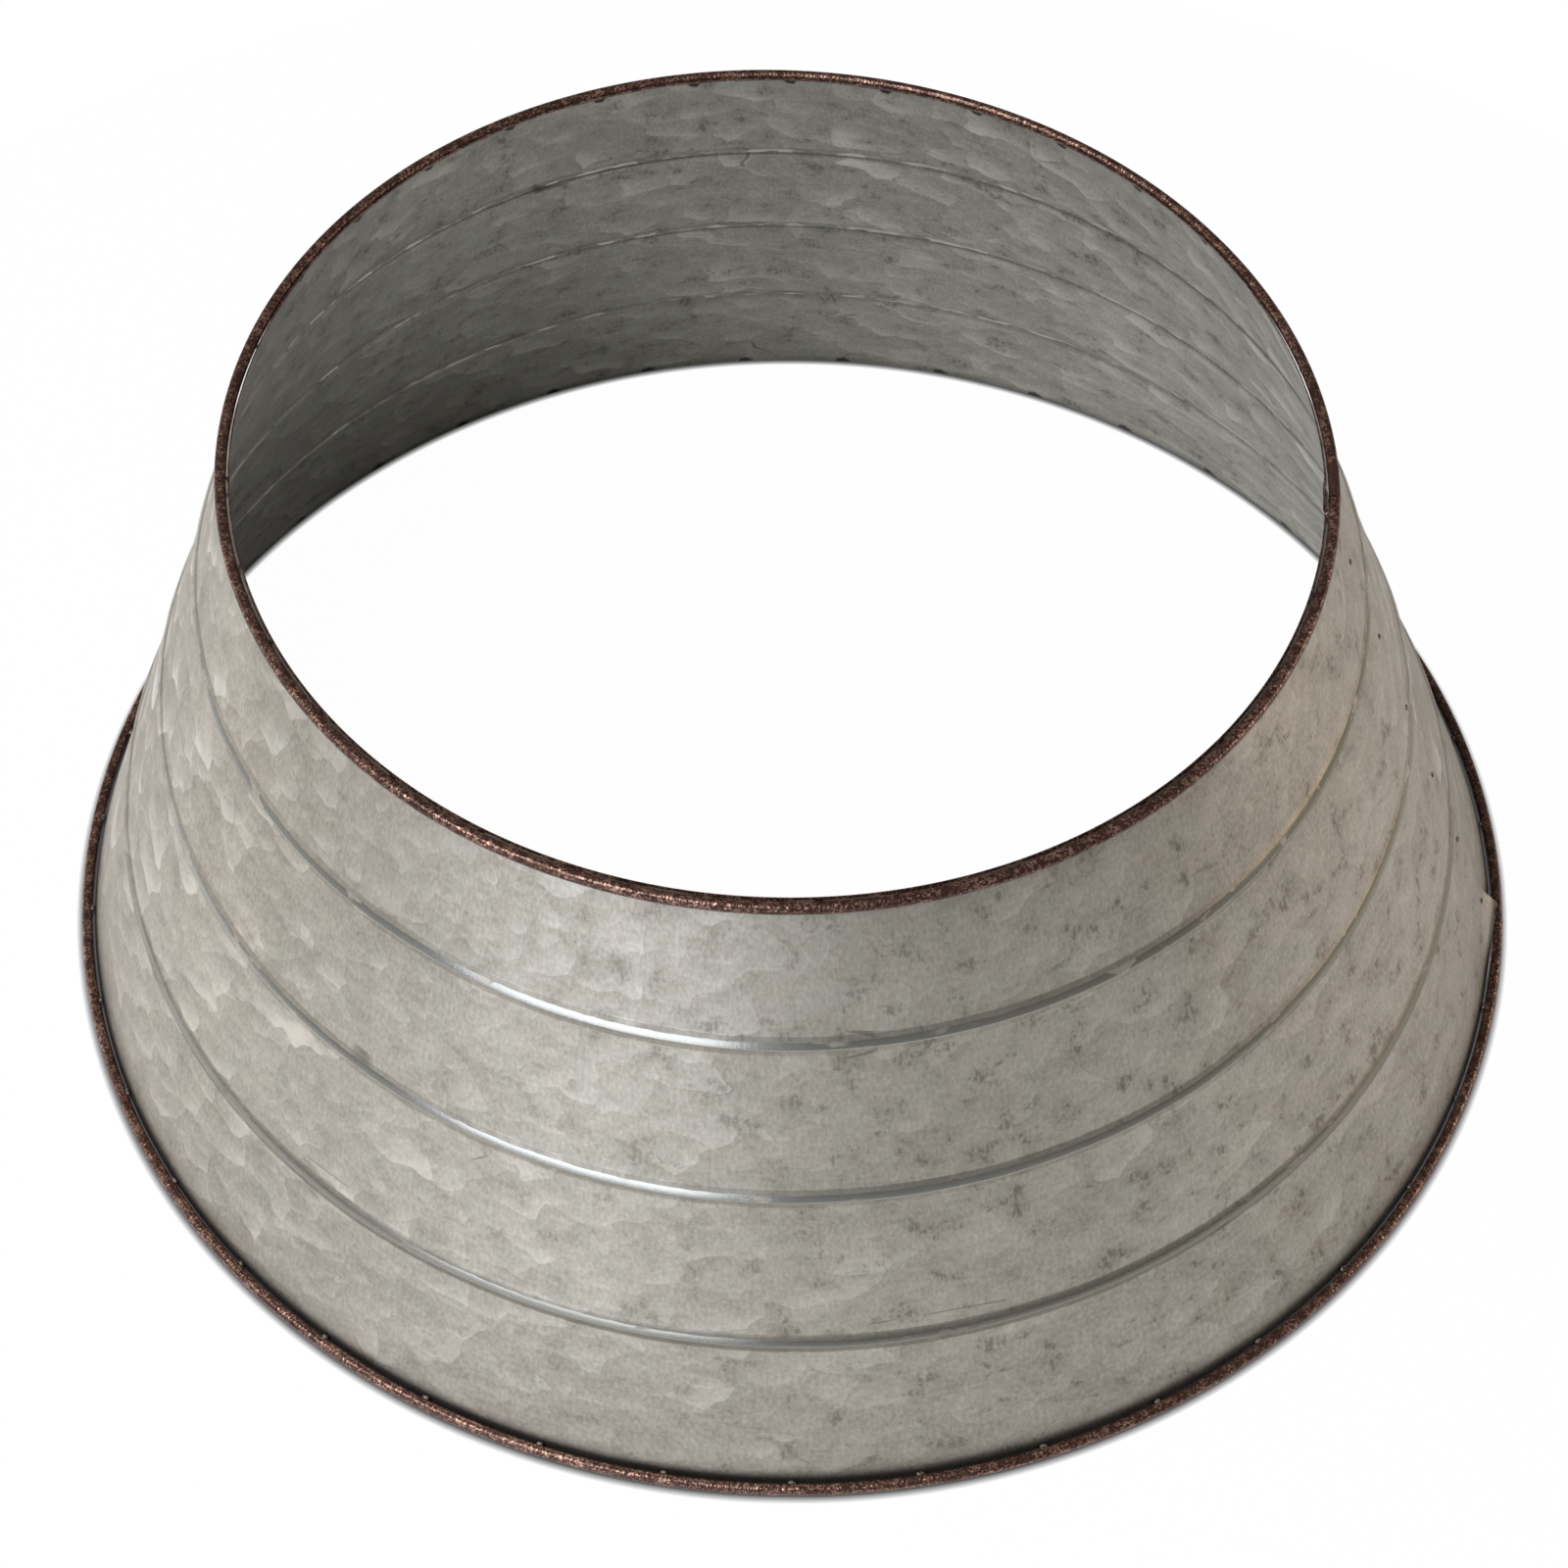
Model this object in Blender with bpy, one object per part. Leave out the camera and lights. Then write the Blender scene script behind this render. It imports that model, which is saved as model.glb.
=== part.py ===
"""Christmas tree collar: a tapered skirt of ribbed galvanised sheet with a painted wire hoop at each rim.

It stands on the base hoop. The origin is the centre of the base on the floor, +Z runs up the tree and
-Y is the front. Lengths are in metres and angles in radians.
"""

import math

import bmesh
import bpy
from mathutils import Matrix, Vector

# The sheet's cone, measured inside it
sheet_top_height = 0.2806
sheet_top_radius = 0.2312
sheet_foot_radius = 0.3368
sheet_foot_height = 0.0005
sheet_thickness = 0.0005

# The wire hoops outside its two edges
wire_diameter = 0.005
base_hoop_gap = 0.0012
top_hoop_gap = 0.0004
lip_rise = 0.0012
hoop_joint_length = 0.0024

# Ribs rolled outwards round the sheet, placed down the slant from the top edge by the middle of the crest.
# Each rises gently, has a flat crest that leans upwards, and falls off sharply on its lower side.
rib_place_shares = (0.228, 0.480, 0.735)
rib_width = 0.010
rib_height = 0.0013
rib_profile_shares = ((-0.42, 0.0), (-0.15, 0.6), (0.14, 1.0), (0.28, 0.25), (0.55, 0.0))

# The thin sheet has sprung a little at the top: an oval whose centre lies to one side
top_oval_share = 0.018
top_long_axis = math.radians(-71)
top_offset = -0.0087

# The side seam, where the outer end laps the inner one
seam_angle = math.radians(-7.1)
lap_angle = math.radians(3)
joggle_angle = math.radians(2)
seam_spot_count = 6
seam_spot_radius = 0.0013
seam_spot_height = 0.0004
seam_spot_top_share = 0.131
seam_spot_foot_room = 0.002

# The outer end's lower corner, sprung out over the base hoop
flare_angle = math.radians(7)
flare_height = 0.016
flare_row_shares = (0.35, 1.0)
flare_lift_share = 0.5
flare_turn_power = 2
flare_down_power = 1.5

# Tack welds on the hoops, in the groove beside the sheet: above the base hoop and below the top one
base_tack_count = 39
base_tack_start = math.radians(-98.8)
base_tack_fullness = 0.00015
top_tack_count = 33
top_tack_start = math.radians(45.4)
top_tack_fullness = 0.0005
tack_length = 0.0036
tack_gap_share = 0.8
tack_fuse_share = 0.3

# Space kept between pieces that touch on the real object
fit_gap = 0.0003

# How finely round things are cut
ring_step = math.radians(4)
seam_step = math.radians(1)
least_step_share = 0.2
crease_angle = math.radians(50)
wire_sides = 10
spot_sides = 8

wire_radius = wire_diameter / 2
lean = math.atan2(sheet_foot_radius - sheet_top_radius, sheet_top_height - sheet_foot_height)
outward = Vector((math.cos(lean), math.sin(lean)))
down_slant = Vector((math.sin(lean), -math.cos(lean)))
slant_length = (sheet_top_height - sheet_foot_height) / math.cos(lean)
lap_start = seam_angle - lap_angle / 2
lap_end = seam_angle + lap_angle / 2
lap_step = sheet_thickness + fit_gap


def slant_point(distance, offset):
    """(radius, height) at a distance down the slant from the top edge, offset out from the inner face."""
    top = Vector((sheet_top_radius, sheet_top_height))
    return top + down_slant * distance + outward * offset


def face_radius(height):
    """Radius of the sheet's outer face at a height."""
    distance = (sheet_top_height - height) / math.cos(lean)
    return slant_point(distance, 0).x + sheet_thickness / math.cos(lean)


base_hoop_height = wire_radius * math.cos(math.pi / wire_sides)
base_hoop_radius = face_radius(base_hoop_height) + (wire_radius + base_hoop_gap) / math.cos(lean)
top_hoop_height = sheet_top_height - lip_rise
top_hoop_radius = face_radius(top_hoop_height) + (wire_radius + top_hoop_gap) / math.cos(lean)


def ring_point(angle, radius, height):
    """The place of a point of the cone, with the top's oval and offset fading out towards the floor."""
    share = height / sheet_top_height
    sprung = radius * (1 + top_oval_share * share * math.cos(2 * (angle - top_long_axis)))
    return Vector((sprung * math.cos(angle) + top_offset * share, sprung * math.sin(angle), height))


def ring_frame(angle, radius, height):
    """A matrix at a point of the cone: X along the ring, Y outwards from the sheet, Z up the slant."""
    place = ring_point(angle, radius, height)
    after = ring_point(angle + ring_step, radius, height)
    before = ring_point(angle - ring_step, radius, height)
    along = (after - before).normalized()
    out = Vector((math.cos(angle) * outward.x, math.sin(angle) * outward.x, outward.y))
    out = (out - along * out.dot(along)).normalized()
    axes = Matrix((along, out, along.cross(out))).transposed()
    return Matrix.Translation(place) @ axes.to_4x4()


def stations(start, end):
    """Angles from start to end, evenly stepped and closer together at the side seam."""
    first = math.ceil(start / ring_step)
    last = math.floor(end / ring_step)
    angles = {start, end} | {ring_step * k for k in range(first, last + 1)}
    for turn in (0, math.tau):
        low = turn + lap_end - flare_angle
        high = turn + lap_end + joggle_angle
        count = round((high - low) / seam_step)
        angles |= {low + (high - low) * k / count for k in range(count + 1)}
    angles = sorted(a for a in angles if start <= a <= end)
    least = seam_step * least_step_share
    kept = [a for a, following in zip(angles, angles[1:]) if following - a > least or a == start]
    return kept + [end]


def material(name, colour, roughness, metallic):
    made = bpy.data.materials.new(name)
    made.use_nodes = True
    shader = made.node_tree.nodes["Principled BSDF"]
    shader.inputs["Base Color"].default_value = (*colour, 1)
    shader.inputs["Roughness"].default_value = roughness
    shader.inputs["Metallic"].default_value = metallic
    return made


def add_object(name, mesh_maker, finish):
    """One named object from a bmesh, its faces turned outwards and its round parts shaded smooth."""
    bmesh.ops.recalc_face_normals(mesh_maker, faces=mesh_maker.faces)
    mesh = bpy.data.meshes.new(name)
    mesh_maker.to_mesh(mesh)
    mesh_maker.free()
    mesh.shade_smooth()
    mesh.set_sharp_from_angle(angle=crease_angle)
    if finish:
        mesh.materials.append(finish)
    made = bpy.data.objects.new(name, mesh)
    bpy.context.scene.collection.objects.link(made)
    return made


def bridge(mesh, rings):
    """Faces between consecutive closed rings of points. It gives back the rings' vertices."""
    rows = [[mesh.verts.new(point) for point in ring] for ring in rings]
    for row, following in zip(rows, rows[1:]):
        for k in range(len(row)):
            mesh.faces.new((row[k - 1], row[k], following[k], following[k - 1]))
    return rows


def sheet_rows():
    """(distance down the slant, rib offset) of each row of the sheet, from the top edge to the foot."""
    rows = [(0, 0)]
    for place in rib_place_shares:
        for across, rise in rib_profile_shares:
            rows.append((slant_length * place + rib_width * across, rib_height * rise))
    for share in reversed(flare_row_shares):
        rows.append((slant_length - flare_height * share, 0))
    return rows + [(slant_length, 0)]


def seam_step_in(angle):
    """How far the inner end is set in, so that the outer end laps it."""
    back = min(max((lap_end + joggle_angle - angle) / joggle_angle, 0), 1)
    return lap_step * back


def corner_flare(angle, distance):
    """(outwards, upwards) move of the outer end's lower corner."""
    turn = min(max((angle - math.tau - lap_end + flare_angle) / flare_angle, 0), 1)
    down = min(max((distance - slant_length) / flare_height + 1, 0), 1)
    hoop_crown = base_hoop_height + wire_radius
    lift = hoop_crown + fit_gap * 2 - sheet_foot_height
    reach = base_hoop_radius - face_radius(sheet_foot_height)
    out = reach * turn**flare_turn_power * down**flare_down_power
    return out, lift * min(turn / flare_lift_share, 1) * down


def sheet_section(angle):
    """The sheet's closed section at one angle: down its outer face and up its inner one."""
    loop = []
    for offset, rows in ((sheet_thickness, sheet_rows()), (0, sheet_rows()[::-1])):
        for distance, rise in rows:
            radius, height = slant_point(distance, offset + rise - seam_step_in(angle))
            out, up = corner_flare(angle, distance)
            loop.append(ring_point(angle, radius + out, height + up))
    return loop


def collar_sheet(finish):
    mesh = bmesh.new()
    rows = bridge(mesh, [sheet_section(angle) for angle in stations(lap_start, math.tau + lap_end)])
    for row in (rows[0], rows[-1]):
        for k in range(len(row) // 2 - 1):
            mesh.faces.new((row[k], row[k + 1], row[-k - 2], row[-k - 1]))
    return add_object("collar_sheet", mesh, finish)


def wire_section(angle, radius, height):
    """Points round the wire where a hoop crosses one angle, with a flat side down."""
    loop = []
    for k in range(wire_sides):
        turn = math.tau * (k + 0.5) / wire_sides - math.pi / 2
        out = wire_radius * math.cos(turn)
        up = wire_radius * math.sin(turn)
        loop.append(ring_point(angle, radius + out, height + up))
    return loop


def wire(name, start, end, radius, height, finish):
    """A stretch of a hoop's wire between two angles, with flat ends."""
    mesh = bmesh.new()
    rows = bridge(mesh, [wire_section(angle, radius, height) for angle in stations(start, end)])
    mesh.faces.new(rows[0])
    mesh.faces.new(rows[-1])
    return add_object(name, mesh, finish)


def hoop(name, radius, height, tacks, finish):
    """A hoop bent from one wire, the short butt weld that closes it, and its tack welds fused to it."""
    weld_half = hoop_joint_length / 2 / radius
    end_half = weld_half + fit_gap / radius
    made = wire(name, seam_angle + end_half, seam_angle + math.tau - end_half, radius, height, finish)
    wire(name + "_joint_weld", seam_angle - weld_half, seam_angle + weld_half, radius, height, finish)
    fuse = made.modifiers.new("tack welds", "BOOLEAN")
    fuse.operation = "UNION"
    fuse.object = tacks


def tack_welds(name, hoop_radius, hoop_height, gap, fullness, side, angles):
    """Small beads in the groove between a hoop and the sheet. The side is 1 above the hoop, -1 below it."""
    bead_radius = gap * tack_gap_share + fullness
    reach = wire_radius + bead_radius * tack_fuse_share
    inwards = wire_radius + gap - fit_gap - bead_radius
    up_slant = side * math.sqrt(reach**2 - inwards**2)
    radius = hoop_radius - outward.x * inwards - down_slant.x * up_slant
    height = hoop_height - outward.y * inwards - down_slant.y * up_slant
    mesh = bmesh.new()
    size = Matrix.Diagonal((tack_length / 2, bead_radius, bead_radius, 1))
    for angle in angles:
        place = ring_frame(angle, radius, height) @ size
        bmesh.ops.create_icosphere(mesh, subdivisions=1, radius=1, matrix=place)
    beads = add_object(name, mesh, None)
    beads.hide_render = True
    beads.display_type = "WIRE"
    return beads


def spread(start, count):
    return [start + math.tau * k / count for k in range(count)]


def clear_of_flare(angle):
    """Whether a tack weld at this angle stays clear of the sprung corner at the seam."""
    from_end = (lap_end - angle) % math.tau
    return flare_angle < from_end < math.tau - joggle_angle


def seam_spot_welds(finish):
    """The low round marks of the spot welds, in a line down the lapped ends to just above the flare."""
    first = slant_length * seam_spot_top_share
    last = slant_length - flare_height - seam_spot_foot_room
    upright = Matrix.Rotation(-math.pi / 2, 4, "X")
    for k in range(seam_spot_count):
        distance = first + (last - first) * k / (seam_spot_count - 1)
        middle = sheet_thickness + fit_gap + seam_spot_height / 2
        radius, height = slant_point(distance, middle)
        mesh = bmesh.new()
        bmesh.ops.create_cone(
            mesh,
            cap_ends=True,
            segments=spot_sides,
            radius1=seam_spot_radius,
            radius2=seam_spot_radius / 2,
            depth=seam_spot_height,
        )
        spot = add_object(f"side_seam_spot_weld_{k + 1}", mesh, finish)
        spot.matrix_world = ring_frame(seam_angle, radius, height) @ upright


def clear_scene():
    for old in list(bpy.data.objects):
        bpy.data.objects.remove(old, do_unlink=True)


def build():
    clear_scene()
    galvanised = material("galvanised steel", (0.56, 0.55, 0.5), 0.45, 0.9)
    painted = material("hammered bronze paint", (0.075, 0.04, 0.03), 0.4, 0.6)
    burnt = material("burnt spot", (0.09, 0.085, 0.075), 0.6, 0.7)
    collar_sheet(galvanised)
    top_place = (top_hoop_radius, top_hoop_height)
    top_angles = spread(top_tack_start, top_tack_count)
    top_tacks = tack_welds("top_tacks", *top_place, top_hoop_gap, top_tack_fullness, -1, top_angles)
    hoop("top_hoop", *top_place, top_tacks, painted)
    base_place = (base_hoop_radius, base_hoop_height)
    base_angles = [angle for angle in spread(base_tack_start, base_tack_count) if clear_of_flare(angle)]
    base_tacks = tack_welds("base_tacks", *base_place, base_hoop_gap, base_tack_fullness, 1, base_angles)
    hoop("base_hoop", *base_place, base_tacks, painted)
    seam_spot_welds(burnt)


build()
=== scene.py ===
"""Looks of the christmas tree collar: its galvanised sheet, painted hoops and welds, in a plain studio.

Lengths are in metres and angles in radians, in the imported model's own frame.
"""

import math
import random

import bmesh
import bpy
from mathutils import Matrix, Vector


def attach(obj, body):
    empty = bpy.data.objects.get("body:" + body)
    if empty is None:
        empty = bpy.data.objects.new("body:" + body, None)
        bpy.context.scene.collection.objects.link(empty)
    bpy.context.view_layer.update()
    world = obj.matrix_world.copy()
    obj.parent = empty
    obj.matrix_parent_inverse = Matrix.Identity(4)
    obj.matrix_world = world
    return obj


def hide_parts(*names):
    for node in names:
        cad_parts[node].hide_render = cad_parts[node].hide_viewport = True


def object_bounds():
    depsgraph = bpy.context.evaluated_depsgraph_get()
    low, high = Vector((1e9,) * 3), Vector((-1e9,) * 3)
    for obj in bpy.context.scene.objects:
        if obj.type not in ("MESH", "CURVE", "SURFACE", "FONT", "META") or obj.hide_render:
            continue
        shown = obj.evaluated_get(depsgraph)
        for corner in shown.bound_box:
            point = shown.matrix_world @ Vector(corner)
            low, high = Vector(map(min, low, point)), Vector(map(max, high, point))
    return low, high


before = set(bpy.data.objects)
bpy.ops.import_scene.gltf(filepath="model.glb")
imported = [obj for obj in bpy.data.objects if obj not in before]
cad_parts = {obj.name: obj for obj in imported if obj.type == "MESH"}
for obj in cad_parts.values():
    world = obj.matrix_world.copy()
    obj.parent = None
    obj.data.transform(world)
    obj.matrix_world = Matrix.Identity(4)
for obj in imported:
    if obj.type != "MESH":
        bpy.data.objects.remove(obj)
cad_low, cad_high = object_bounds()

# The sheet's cone, measured inside it
sheet_top_height = 0.2806
sheet_top_radius = 0.2312
sheet_foot_radius = 0.3368
sheet_foot_height = 0.0005
sheet_thickness = 0.0005

# The wire hoops outside its two edges
wire_diameter = 0.005
base_hoop_gap = 0.0012
top_hoop_gap = 0.0004
lip_rise = 0.0012
hoop_joint_length = 0.0024
hoop_joint_swell_share = 0.09
model_wire_sides = 10

# Ribs rolled outwards round the sheet, placed by the middle of the crest. Their profile runs down the slant,
# as (place across the rib, lift).
rib_place_shares = (0.228, 0.480, 0.735)
rib_width = 0.010
rib_height = 0.0013
rib_profile_shares = ((-0.42, 0.0), (-0.15, 0.54), (0.18, 1.0), (0.3, 0.25), (0.55, 0.0))
rib_bend = 0.0004

# The sprung top
top_oval_share = 0.018
top_long_axis = math.radians(-71)
top_offset = -0.0087

# The side seam and its spot welds, whose profile runs inwards, as (radius, height)
seam_angle = math.radians(-7.1)
lap_angle = math.radians(3)
joggle_angle = math.radians(2)
fit_gap = 0.0003
seam_spot_count = 6
seam_spot_radius = 0.0013
seam_spot_height = 0.0004
seam_spot_top_share = 0.131
seam_spot_foot_room = 0.002
seam_spot_profile_shares = ((1.0, 0.0), (0.92, 0.45), (0.75, 0.85), (0.5, 1.0), (0.25, 0.7), (0.1, 0.5))

# The outer end's lower corner, sprung out over the base hoop
flare_angle = math.radians(7)
flare_height = 0.016
flare_lift_share = 0.5
flare_turn_power = 2
flare_down_power = 1.5

# Tack welds, rough beads with a pit that faces outwards and away from the hoop
base_tack_count = 39
base_tack_start = math.radians(-98.8)
base_tack_fullness = 0.00015
top_tack_count = 33
top_tack_start = math.radians(45.4)
top_tack_fullness = 0.0005
tack_length = 0.0036
tack_length_shares = (0.8, 1.1)
tack_gap_share = 0.8
tack_fuse_share = 0.3
tack_pit_share = 0.35
tack_pit_sway_share = 0.3
tack_pit_out_share = 0.45
tack_pit_up_share = 0.9
tack_pit_edge_share = 0.7
tack_pit_fade_share = 0.3
tack_roughness_shares = (-0.07, 0.07)

# Paint on the sheet's top lip, its two bridges to the hoop and the touched-up stretch beside the joint. The
# lip's waves are (depth, waves round it, phase), and a bridge's radii run along, out and up.
lip_paint_depth = 0.0013
lip_paint_waves = ((0.00025, 23, 0.7), (0.00018, 57, 2.9))
paint_bridge_angles = (math.radians(-8.9), math.radians(-174))
paint_bridge_radii = (0.0016, 0.0011, 0.0006)
touch_up_angle = math.radians(-2)

# Unevenness of the thin sheet between its edges: (height, waves round it, waves down it, phase)
ripples = (
    (0.00016, 7, 0.5, 0.4),
    (0.00011, 17, 1.0, 2.1),
    (0.00006, 41, 1.5, 4.0),
)

# How far round the sheet its clean part turns into the stained part, and how the clean part differs. The
# crystals' stronger colour contrast there is a painted sheen on the lit side of the collar.
clean_fade = 0.25
lit_leaf_sheen_contrast = 1.3
clean_stain_share = 0.5
clean_wear_loss = 0.16

# Bands across a rib, in shares of its width, and how far their edges waver: painted shade on the folds
# beside the crest and on the lowest rib, and the crest that the rollers wore
upper_fold_shares = (-0.4, -0.17)
crest_shares = (-0.17, 0.22)
lower_fold_shares = (0.22, 0.5)
lowest_rib_shares = (-0.3, 0.5)
rib_edge_waver = 0.0011

# Stains, painted shade on the foot and along the base hoop, and how the rim's burns compare with the foot's
stain_share = 0.62
scratch_line_share = 0.0012
foot_darkening_start_share = 0.3
foot_shade_height = 0.0075
full_foot_shade_height = 0.0015
foot_shade_to_fold_shade_share = 2.4
rim_burn_share = 0.7

# Depths of the finishes' relief
felt_depth = 0.0001
paint_dimple_depth = 0.00018
weld_scale_depth = 0.0001

# Sizes of the finishes' patterns, in millimetres
large_leaf_size = 20
small_leaf_size = 9
tone_patch_size = 120
tint_patch_size = 16
stain_cloud_size = 17
scratch_wander_size = 70
scratch_spread_size = 45
rib_nick_size = 2.2
wear_patch_size = 7
burn_rim_size = 3
paint_drift_size = 6
weld_scale_size = 1.0

# Patterns that are finer on the real collar, drawn as coarse as they need to be to show, in millimetres
felt_grain_size = 1.6
stroke_size = 1.8
rolling_line_size = 1.4
paint_fleck_size = 0.8
paint_dimple_size = 1.1

# Colours that are the same on the sheet's two sides, and those of the paint and the welds, in sRGB
cool_tint = "#fbfdfa"
warm_tint = "#fffcfa"
# Painted shade and painted reflection of the base hoop along the sheet's foot
foot_shade_colour = "#29262a"
burn_colour = "#2b2622"
paint_brown = "#442d26"
fleck_copper = "#977667"
weld_grey = "#8b867c"
weld_scale_brown = "#2e2925"

# How finely round things are cut
ring_step = math.radians(1)
seam_step = math.radians(0.25)
panel_step = 0.010
foot_step = 0.002
bend_steps = 2
joint_steps = 8
wire_sides = 24
spot_sides = 24
bead_subdivisions = 3
crease_angle = math.radians(40)

wire_radius = wire_diameter / 2
lean = math.atan2(sheet_foot_radius - sheet_top_radius, sheet_top_height - sheet_foot_height)
outward = Vector((math.cos(lean), math.sin(lean)))
down_slant = Vector((math.sin(lean), -math.cos(lean)))
slant_length = (sheet_top_height - sheet_foot_height) / math.cos(lean)
middle_radius = (sheet_top_radius + sheet_foot_radius) / 2
lap_start = seam_angle - lap_angle / 2
lap_end = seam_angle + lap_angle / 2
lap_step = sheet_thickness + fit_gap
bend_offsets = [rib_bend * k / bend_steps for k in range(-bend_steps, bend_steps + 1)]


def slant_point(distance, offset):
    """(radius, height) at a distance down the slant from the top edge, offset out from the inner face."""
    top = Vector((sheet_top_radius, sheet_top_height))
    return top + down_slant * distance + outward * offset


def face_radius(height):
    """Radius of the sheet's outer face at a height."""
    distance = (sheet_top_height - height) / math.cos(lean)
    return slant_point(distance, 0).x + sheet_thickness / math.cos(lean)


base_hoop_height = wire_radius * math.cos(math.pi / model_wire_sides)
base_hoop_radius = face_radius(base_hoop_height) + (wire_radius + base_hoop_gap) / math.cos(lean)
top_hoop_height = sheet_top_height - lip_rise
top_hoop_radius = face_radius(top_hoop_height) + (wire_radius + top_hoop_gap) / math.cos(lean)


def in_model_box(point):
    """The point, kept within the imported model's box."""
    return Vector(min(max(value, low), high) for value, low, high in zip(point, cad_low, cad_high))


def ring_point(angle, radius, height):
    """The place of a point of the cone, with the top's oval and offset fading out towards the floor."""
    share = height / sheet_top_height
    sprung = radius * (1 + top_oval_share * share * math.cos(2 * (angle - top_long_axis)))
    return Vector((sprung * math.cos(angle) + top_offset * share, sprung * math.sin(angle), height))


def ring_frame(angle, radius, height):
    """A matrix at a point of the cone: X along the ring, Y outwards from the sheet, Z up the slant."""
    place = ring_point(angle, radius, height)
    after = ring_point(angle + ring_step, radius, height)
    before = ring_point(angle - ring_step, radius, height)
    along = (after - before).normalized()
    out = Vector((math.cos(angle) * outward.x, math.sin(angle) * outward.x, outward.y))
    out = (out - along * out.dot(along)).normalized()
    axes = Matrix((along, out, along.cross(out))).transposed()
    return Matrix.Translation(place) @ axes.to_4x4()


def stations(start, end):
    """Angles from start to end, evenly stepped and closer together at the side seam."""
    angles = [start]
    while angles[-1] < end:
        from_seam = abs((angles[-1] - seam_angle + math.pi) % math.tau - math.pi)
        step = seam_step if from_seam < flare_angle + lap_angle else ring_step
        angles.append(min(angles[-1] + step, end))
    return angles


# Pieces


def add_piece(name, mesh_maker, finishes, nodes):
    """One named object from a bmesh, riding on the collar's body in place of the model's nodes."""
    for corner in mesh_maker.verts:
        corner.co = in_model_box(corner.co)
    bmesh.ops.recalc_face_normals(mesh_maker, faces=mesh_maker.faces)
    mesh = bpy.data.meshes.new(name)
    mesh_maker.to_mesh(mesh)
    mesh_maker.free()
    mesh.shade_smooth()
    mesh.set_sharp_from_angle(angle=crease_angle)
    for finish in finishes:
        mesh.materials.append(finish)
    made = bpy.data.objects.new(name, mesh)
    bpy.context.scene.collection.objects.link(made)
    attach(made, "root")
    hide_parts(*nodes)


def bridge(mesh, rings):
    """Faces between consecutive closed rings of points. It gives back the rings' vertices."""
    rows = [[mesh.verts.new(point) for point in ring] for ring in rings]
    for row, following in zip(rows, rows[1:]):
        for k in range(len(row)):
            mesh.faces.new((row[k - 1], row[k], following[k], following[k - 1]))
    return rows


def folded_rise(distance):
    """How far a rib with sharp folds lifts the sheet at a distance down the slant."""
    for share in rib_place_shares:
        across = (distance - slant_length * share) / rib_width
        for (start, low), (end, high) in zip(rib_profile_shares, rib_profile_shares[1:]):
            if start <= across < end:
                return rib_height * (low + (high - low) * (across - start) / (end - start))
    return 0


def rib_rise(distance):
    """The ribs' lift with their folds rounded, as rollers leave them."""
    return sum(folded_rise(distance + offset) for offset in bend_offsets) / len(bend_offsets)


def sheet_rows():
    """(distance down the slant, rib lift) of the sheet's rows, close at the ribs' bends and near the foot."""
    ribs = [
        [slant_length * share + rib_width * across for across, rise in rib_profile_shares]
        for share in rib_place_shares
    ]
    panel_starts = [lip_paint_depth] + [folds[-1] for folds in ribs]
    panel_ends = [folds[0] for folds in ribs] + [slant_length - flare_height]
    rows = {0, lip_paint_depth, slant_length}
    for start, end in zip(panel_starts, panel_ends):
        count = math.ceil((end - start) / panel_step)
        rows |= {start + (end - start) * step / count for step in range(1, count)}
    rows |= {fold + offset for folds in ribs for fold in folds for offset in bend_offsets}
    rows |= {slant_length - foot_step * k for k in range(1, round(flare_height / foot_step) + 1)}
    return [(distance, rib_rise(distance)) for distance in sorted(rows)]


def painted_depth(angle):
    """How far down the paint on the lip runs at an angle."""
    waves = sum(depth * math.sin(around * angle + phase) for depth, around, phase in lip_paint_waves)
    return lip_paint_depth + waves


def ripple(angle, distance):
    """The sheet's slight unevenness, none at its edges."""
    down = distance / slant_length
    waves = sum(
        height * math.sin(around * angle + math.tau * along * down + phase)
        for height, around, along, phase in ripples
    )
    return waves * math.sin(math.pi * down)


def seam_step_in(angle):
    """How far the inner end is set in, so that the outer end laps it."""
    back = min(max((lap_end + joggle_angle - angle) / joggle_angle, 0), 1)
    return lap_step * back**2 * (3 - 2 * back)


def corner_flare(angle, distance):
    """(outwards, upwards) move of the outer end's lower corner."""
    turn = min(max((angle - math.tau - lap_end + flare_angle) / flare_angle, 0), 1)
    down = min(max((distance - slant_length) / flare_height + 1, 0), 1)
    hoop_crown = base_hoop_height + wire_radius
    lift = hoop_crown + fit_gap * 2 - sheet_foot_height
    reach = base_hoop_radius - face_radius(sheet_foot_height)
    out = reach * turn**flare_turn_power * down**flare_down_power
    return out, lift * min(turn / flare_lift_share, 1) * down


def sheet_section(angle, rows):
    """The sheet's closed section at one angle: down its outer face and up its inner one."""
    loop = []
    for offset, order in ((sheet_thickness, rows), (0, rows[::-1])):
        for distance, rise in order:
            if distance == lip_paint_depth:
                distance = painted_depth(angle)
            shift = rise + ripple(angle, distance) - seam_step_in(angle)
            radius, height = slant_point(distance, offset + shift)
            out, up = corner_flare(angle, distance)
            loop.append(ring_point(angle, radius + out, height + up))
    return loop


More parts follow.
